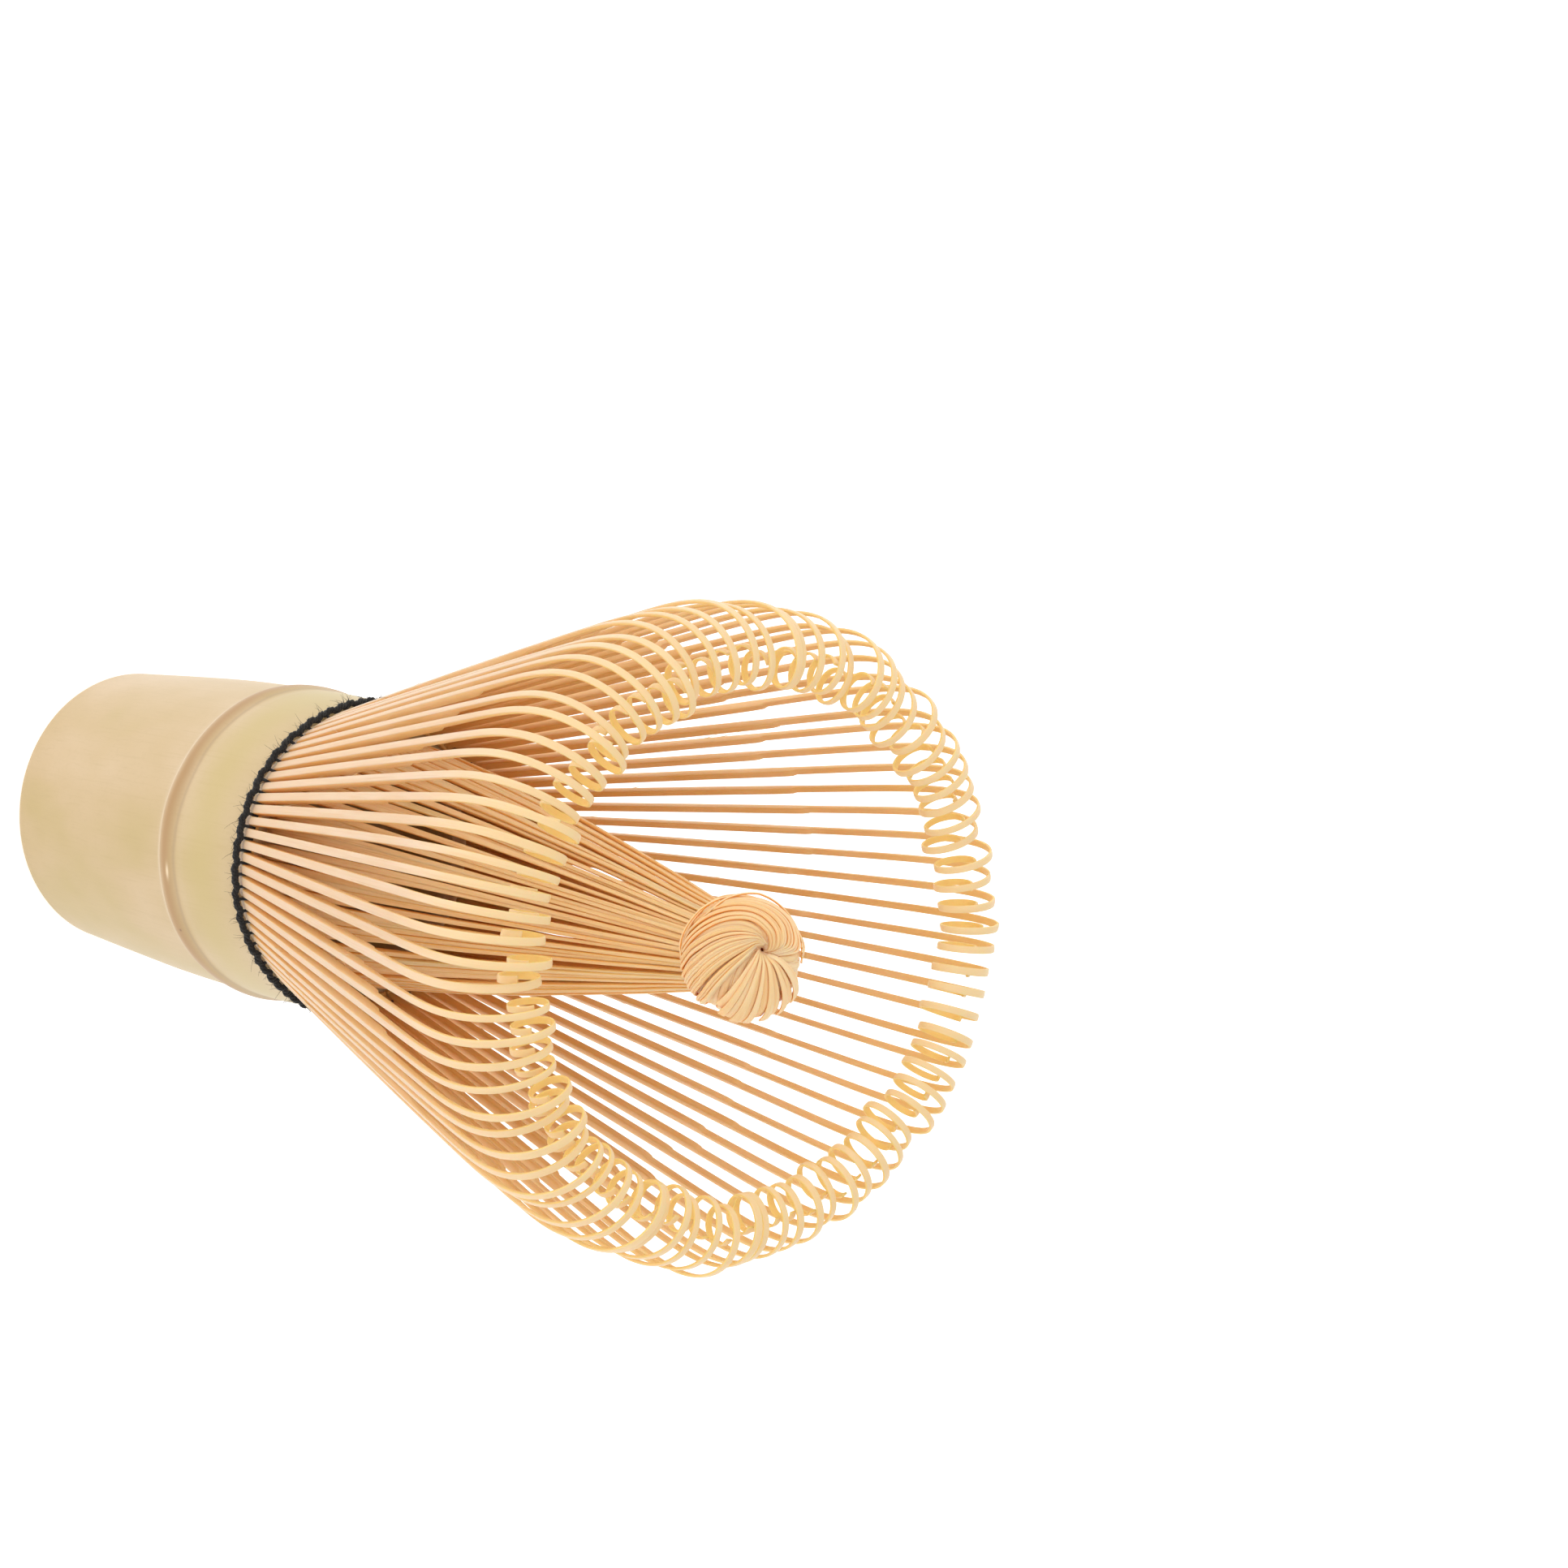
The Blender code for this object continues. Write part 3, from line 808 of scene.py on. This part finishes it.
def make_thread(cotton):
    mesh = tube_mesh("woven_thread", thread_plies() + thread_passes())
    piece("woven_thread", mesh, (cotton,), "handle", "black_thread", "binding_thread")
    fuzz = tube_mesh("thread_fuzz", [thread_hair() for _ in range(HAIRS)])
    piece("thread_fuzz", fuzz, (cotton,), "handle", "black_thread")


# ---------------------------------------------------------------- materials


def new_material(name):
    material = bpy.data.materials.new(name)
    material.use_nodes = True
    nodes, links = material.node_tree.nodes, material.node_tree.links
    return material, nodes, links, nodes["Principled BSDF"]


def add(nodes, kind, **inputs):
    node = nodes.new(kind)
    for key, value in inputs.items():
        node.inputs[key.replace("_", " ")].default_value = value
    return node


def ramp(nodes, stops):
    node = nodes.new("ShaderNodeValToRGB")
    first, last = node.color_ramp.elements[0], node.color_ramp.elements[1]
    first.position, first.color = stops[0][0], (*stops[0][1], 1)
    last.position, last.color = stops[-1][0], (*stops[-1][1], 1)
    for position, colour in stops[1:-1]:
        node.color_ramp.elements.new(position).color = (*colour, 1)
    return node


def mix(nodes, links, factor, first, second):
    node = nodes.new("ShaderNodeMix")
    node.data_type = "RGBA"
    for value, index in ((factor, 0), (first, 6), (second, 7)):
        if hasattr(value, "links"):
            links.new(value, node.inputs[index])
        else:
            node.inputs[index].default_value = value if index == 0 else (*value, 1)
    return node.outputs[2]


def math_node(nodes, links, operation, *values):
    node = nodes.new("ShaderNodeMath")
    node.operation = operation
    for index, value in enumerate(values):
        if hasattr(value, "links"):
            links.new(value, node.inputs[index])
        else:
            node.inputs[index].default_value = value
    return node.outputs[0]


def bump(nodes, links, shader, height, strength, distance):
    node = nodes.new("ShaderNodeBump")
    node.inputs["Strength"].default_value = strength
    node.inputs["Distance"].default_value = distance
    links.new(height, node.inputs["Height"])
    links.new(node.outputs[0], shader.inputs["Normal"])


def stretched(nodes, links, *pairs):
    """A vector of values, each times its own factor."""
    vector = nodes.new("ShaderNodeCombineXYZ")
    for index, (value, factor) in enumerate(pairs):
        links.new(math_node(nodes, links, "MULTIPLY", value, factor), vector.inputs[index])
    return vector.outputs[0]


def split_bamboo(name):
    """Split bamboo with fibres along each strip, from the strip's own length and width coordinates."""
    palette = BAMBOO[name]
    material, nodes, links, shader = new_material(name)
    grain = nodes.new("ShaderNodeUVMap")
    grain.uv_map = "grain"
    split = nodes.new("ShaderNodeSeparateXYZ")
    links.new(grain.outputs[0], split.inputs[0])
    along, across = split.outputs[0], split.outputs[1]
    attribute = nodes.new("ShaderNodeAttribute")
    attribute.attribute_name = "strand"
    strand = attribute.outputs["Fac"]

    fibres = add(nodes, "ShaderNodeTexNoise", Scale=1.0, Detail=3.0, Roughness=0.6)
    fibre_at = stretched(nodes, links, (along, 90.0), (across, 9000.0), (strand, 40.0))
    links.new(fibre_at, fibres.inputs["Vector"])
    patches = add(nodes, "ShaderNodeTexNoise", Scale=1.0, Detail=2.0)
    patch_at = stretched(nodes, links, (along, 110.0), (across, 500.0), (strand, 90.0))
    links.new(patch_at, patches.inputs["Vector"])
    # each strip has a tone of its own
    own = nodes.new("ShaderNodeTexWhiteNoise")
    own.noise_dimensions = "1D"
    links.new(math_node(nodes, links, "MULTIPLY", strand, 977.0), own.inputs["W"])
    own_tone = math_node(nodes, links, "MULTIPLY_ADD", own.outputs[0], 0.32, -0.16)

    tone = ramp(nodes, [(0.32, palette["pale"]), (0.70, palette["warm"])])
    links.new(math_node(nodes, links, "ADD", patches.outputs[0], own_tone), tone.inputs[0])
    lines = ramp(nodes, [(0.30, (1, 1, 1)), (0.44, (0, 0, 0))])
    links.new(fibres.outputs[0], lines.inputs[0])
    amount = math_node(nodes, links, "MULTIPLY", lines.outputs[0], 0.45)
    base = mix(nodes, links, amount, tone.outputs[0], palette["line"])
    for part, (begin, full, strength) in TONES_ALONG.items():
        if part in palette:
            reach = add(nodes, "ShaderNodeMapRange", From_Min=begin * MM, From_Max=full * MM)
            links.new(along, reach.inputs[0])
            amount = math_node(nodes, links, "MULTIPLY", reach.outputs[0], strength)
            base = mix(nodes, links, amount, base, palette[part])
    links.new(base, shader.inputs["Base Color"])
    shader.inputs["Roughness"].default_value = palette["roughness"]
    shader.inputs["Subsurface Weight"].default_value = palette["glow"]
    shader.inputs["Subsurface Radius"].default_value = (1.0, 0.42, 0.14)
    shader.inputs["Subsurface Scale"].default_value = 0.8 * MM
    bump(nodes, links, shader, fibres.outputs[0], 0.5, 0.03 * MM)
    return material


def bell(nodes, links, value, centre, spread):
    """1 where value is centre, falling to 0 about two spreads away."""
    off = math_node(nodes, links, "DIVIDE", math_node(nodes, links, "SUBTRACT", value, centre), spread)
    square = math_node(nodes, links, "MULTIPLY", off, off)
    return math_node(nodes, links, "EXPONENT", math_node(nodes, links, "MULTIPLY", square, -1.0))


def vector_node(nodes, links, operation, first, second=None):
    """A vector operation on a socket and, if given, a fixed vector."""
    node = nodes.new("ShaderNodeVectorMath")
    node.operation = operation
    links.new(first, node.inputs[0])
    if second:
        node.inputs[1].default_value = second
    return node


def mark(nodes, links, where, angle, height, size):
    """1 inside a small patch of the node ring, size across and up, at an angle in degrees round the culm."""
    turn = math.radians(angle)
    centre = (NODE_RADIUS * math.cos(turn), NODE_RADIUS * math.sin(turn), height)
    apart = vector_node(nodes, links, "SUBTRACT", where, centre)
    scaled = vector_node(nodes, links, "DIVIDE", apart.outputs[0], (size[0], size[0], size[1]))
    far = vector_node(nodes, links, "LENGTH", scaled.outputs[0])
    return bell(nodes, links, far.outputs["Value"], 0.0, 0.8)


def noise_at(nodes, links, where, scale, detail):
    """Noise stretched by scale, a vector of cycles per metre."""
    stretch = nodes.new("ShaderNodeMapping")
    stretch.inputs["Scale"].default_value = scale
    links.new(where, stretch.inputs[0])
    noise = add(nodes, "ShaderNodeTexNoise", Scale=1.0, Detail=detail, Roughness=0.6)
    links.new(stretch.outputs[0], noise.inputs["Vector"])
    return noise.outputs[0]


def streaked(nodes, links, base, noise, low, high, strength, colour):
    """base with colour laid over it where the noise is under high, and most where it is under low."""
    streaks = ramp(nodes, [(low, (1, 1, 1)), (high, (0, 0, 0))])
    links.new(noise, streaks.inputs[0])
    amount = math_node(nodes, links, "MULTIPLY", streaks.outputs[0], strength)
    return mix(nodes, links, amount, base, colour)


def culm_bamboo():
    """The culm's skin: satin ochre with fine fibres, a brown crest on the node and a greener tone above."""
    material, nodes, links, shader = new_material("culm_bamboo")
    where = nodes.new("ShaderNodeTexCoord").outputs["Object"]
    split = nodes.new("ShaderNodeSeparateXYZ")
    links.new(where, split.inputs[0])
    fibres = noise_at(nodes, links, where, (4200, 4200, 70), 4.0)
    clouds = noise_at(nodes, links, where, (62, 62, 34), 3.0)
    speckle = noise_at(nodes, links, where, (2600, 2600, 1500), 2.0)
    tone = ramp(nodes, CULM_TONES)
    links.new(clouds, tone.inputs[0])
    base = streaked(nodes, links, tone.outputs[0], fibres, 0.32, 0.48, 0.16, (0.44, 0.30, 0.12))
    base = streaked(nodes, links, base, speckle, 0.34, 0.50, 0.10, (0.48, 0.34, 0.16))
    # the level of the rings wanders a little round the culm
    wander = math_node(nodes, links, "MULTIPLY_ADD", clouds, 1.2 * MM, -0.6 * MM)
    level = math_node(nodes, links, "ADD", split.outputs[2], wander)
    # one of these rings, the pale line below the node's brown crest, is a painted highlight
    for centre, spread, colour, strength in CULM_RINGS:
        ring = bell(nodes, links, level, centre * MM, spread * MM)
        base = mix(nodes, links, math_node(nodes, links, "MULTIPLY", ring, strength), base, colour)
    chip = mark(nodes, links, where, 288, 30.1 * MM, (0.85 * MM, 0.22 * MM))
    base = mix(nodes, links, chip, base, (0.86, 0.68, 0.44))
    speck = mark(nodes, links, where, 311, 30.0 * MM, (0.16 * MM, 0.16 * MM))
    base = mix(nodes, links, speck, base, (0.22, 0.10, 0.04))
    links.new(base, shader.inputs["Base Color"])
    shader.inputs["Roughness"].default_value = 0.42
    shader.inputs["Coat Weight"].default_value = 0.22
    shader.inputs["Coat Roughness"].default_value = 0.35
    bump(nodes, links, shader, fibres, 0.25, 0.03 * MM)
    return material


def black_cotton():
    material, nodes, links, shader = new_material("black_cotton")
    where = nodes.new("ShaderNodeTexCoord")
    fluff = add(nodes, "ShaderNodeTexNoise", Scale=7000.0, Detail=4.0)
    links.new(where.outputs["Object"], fluff.inputs["Vector"])
    tone = ramp(nodes, [(0.35, (0.004, 0.004, 0.004)), (0.7, (0.030, 0.028, 0.026))])
    links.new(fluff.outputs[0], tone.inputs[0])
    links.new(tone.outputs[0], shader.inputs["Base Color"])
    shader.inputs["Roughness"].default_value = 0.95
    shader.inputs["Sheen Weight"].default_value = 0.15
    bump(nodes, links, shader, fluff.outputs[0], 0.8, 0.04 * MM)
    return material


# ---------------------------------------------------------------- studio


def make_floor():
    bpy.ops.mesh.primitive_plane_add(size=6.0, location=(0, 0, 0))
    floor = bpy.context.object
    floor.name = "floor"
    material, _, _, shader = new_material("floor_white")
    shader.inputs["Base Color"].default_value = (0.93, 0.93, 0.93, 1)
    shader.inputs["Roughness"].default_value = 0.9
    shader.inputs["Specular IOR Level"].default_value = 0.1
    shader.inputs["Emission Color"].default_value = (1, 1, 1, 1)
    shader.inputs["Emission Strength"].default_value = 0.5
    floor.data.materials.append(material)


def make_lights():
    world = bpy.data.worlds.new("studio")
    world.use_nodes = True
    background = world.node_tree.nodes["Background"]
    background.inputs[0].default_value = (1.0, 1.0, 1.0, 1)
    background.inputs[1].default_value = WORLD_STRENGTH
    bpy.context.scene.world = world

    for name, place, size, power in LAMPS:
        lamp = bpy.data.lights.new(name, "AREA")
        lamp.shape = "DISK"
        lamp.size = size
        lamp.energy = power
        holder = bpy.data.objects.new(name, lamp)
        bpy.context.scene.collection.objects.link(holder)
        holder.location = place
        aim = Vector(LAMPS_AIM) - Vector(place)
        holder.rotation_euler = aim.to_track_quat("-Z", "Y").to_euler()


def make_camera():
    camera = bpy.data.cameras.new("camera")
    camera.sensor_width = 36.0
    camera.lens = CAMERA_LENS
    obj = bpy.data.objects.new("camera", camera)
    bpy.context.scene.collection.objects.link(obj)
    right, above = Vector(CAMERA_RIGHT), Vector(CAMERA_ABOVE)
    turn = Matrix((right, above, right.cross(above))).transposed().to_4x4()
    obj.matrix_world = Matrix.Translation(CAMERA_PLACE) @ turn
    bpy.context.scene.camera = obj


def main():
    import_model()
    make_camera()
    make_floor()
    make_lights()
    bamboo = {name: split_bamboo(name) for name in BAMBOO}
    make_handle(culm_bamboo())
    make_thread(black_cotton())
    make_outer_tines(bamboo["outer_skin"], bamboo["outer_flesh"])
    make_inner_tines(bamboo["inner_skin"], bamboo["inner_flesh"])
    make_knot(bamboo["knot_skin_painted_light"], bamboo["knot_flesh_painted_shade"])
    bpy.context.scene.view_settings.view_transform = "Standard"


main()
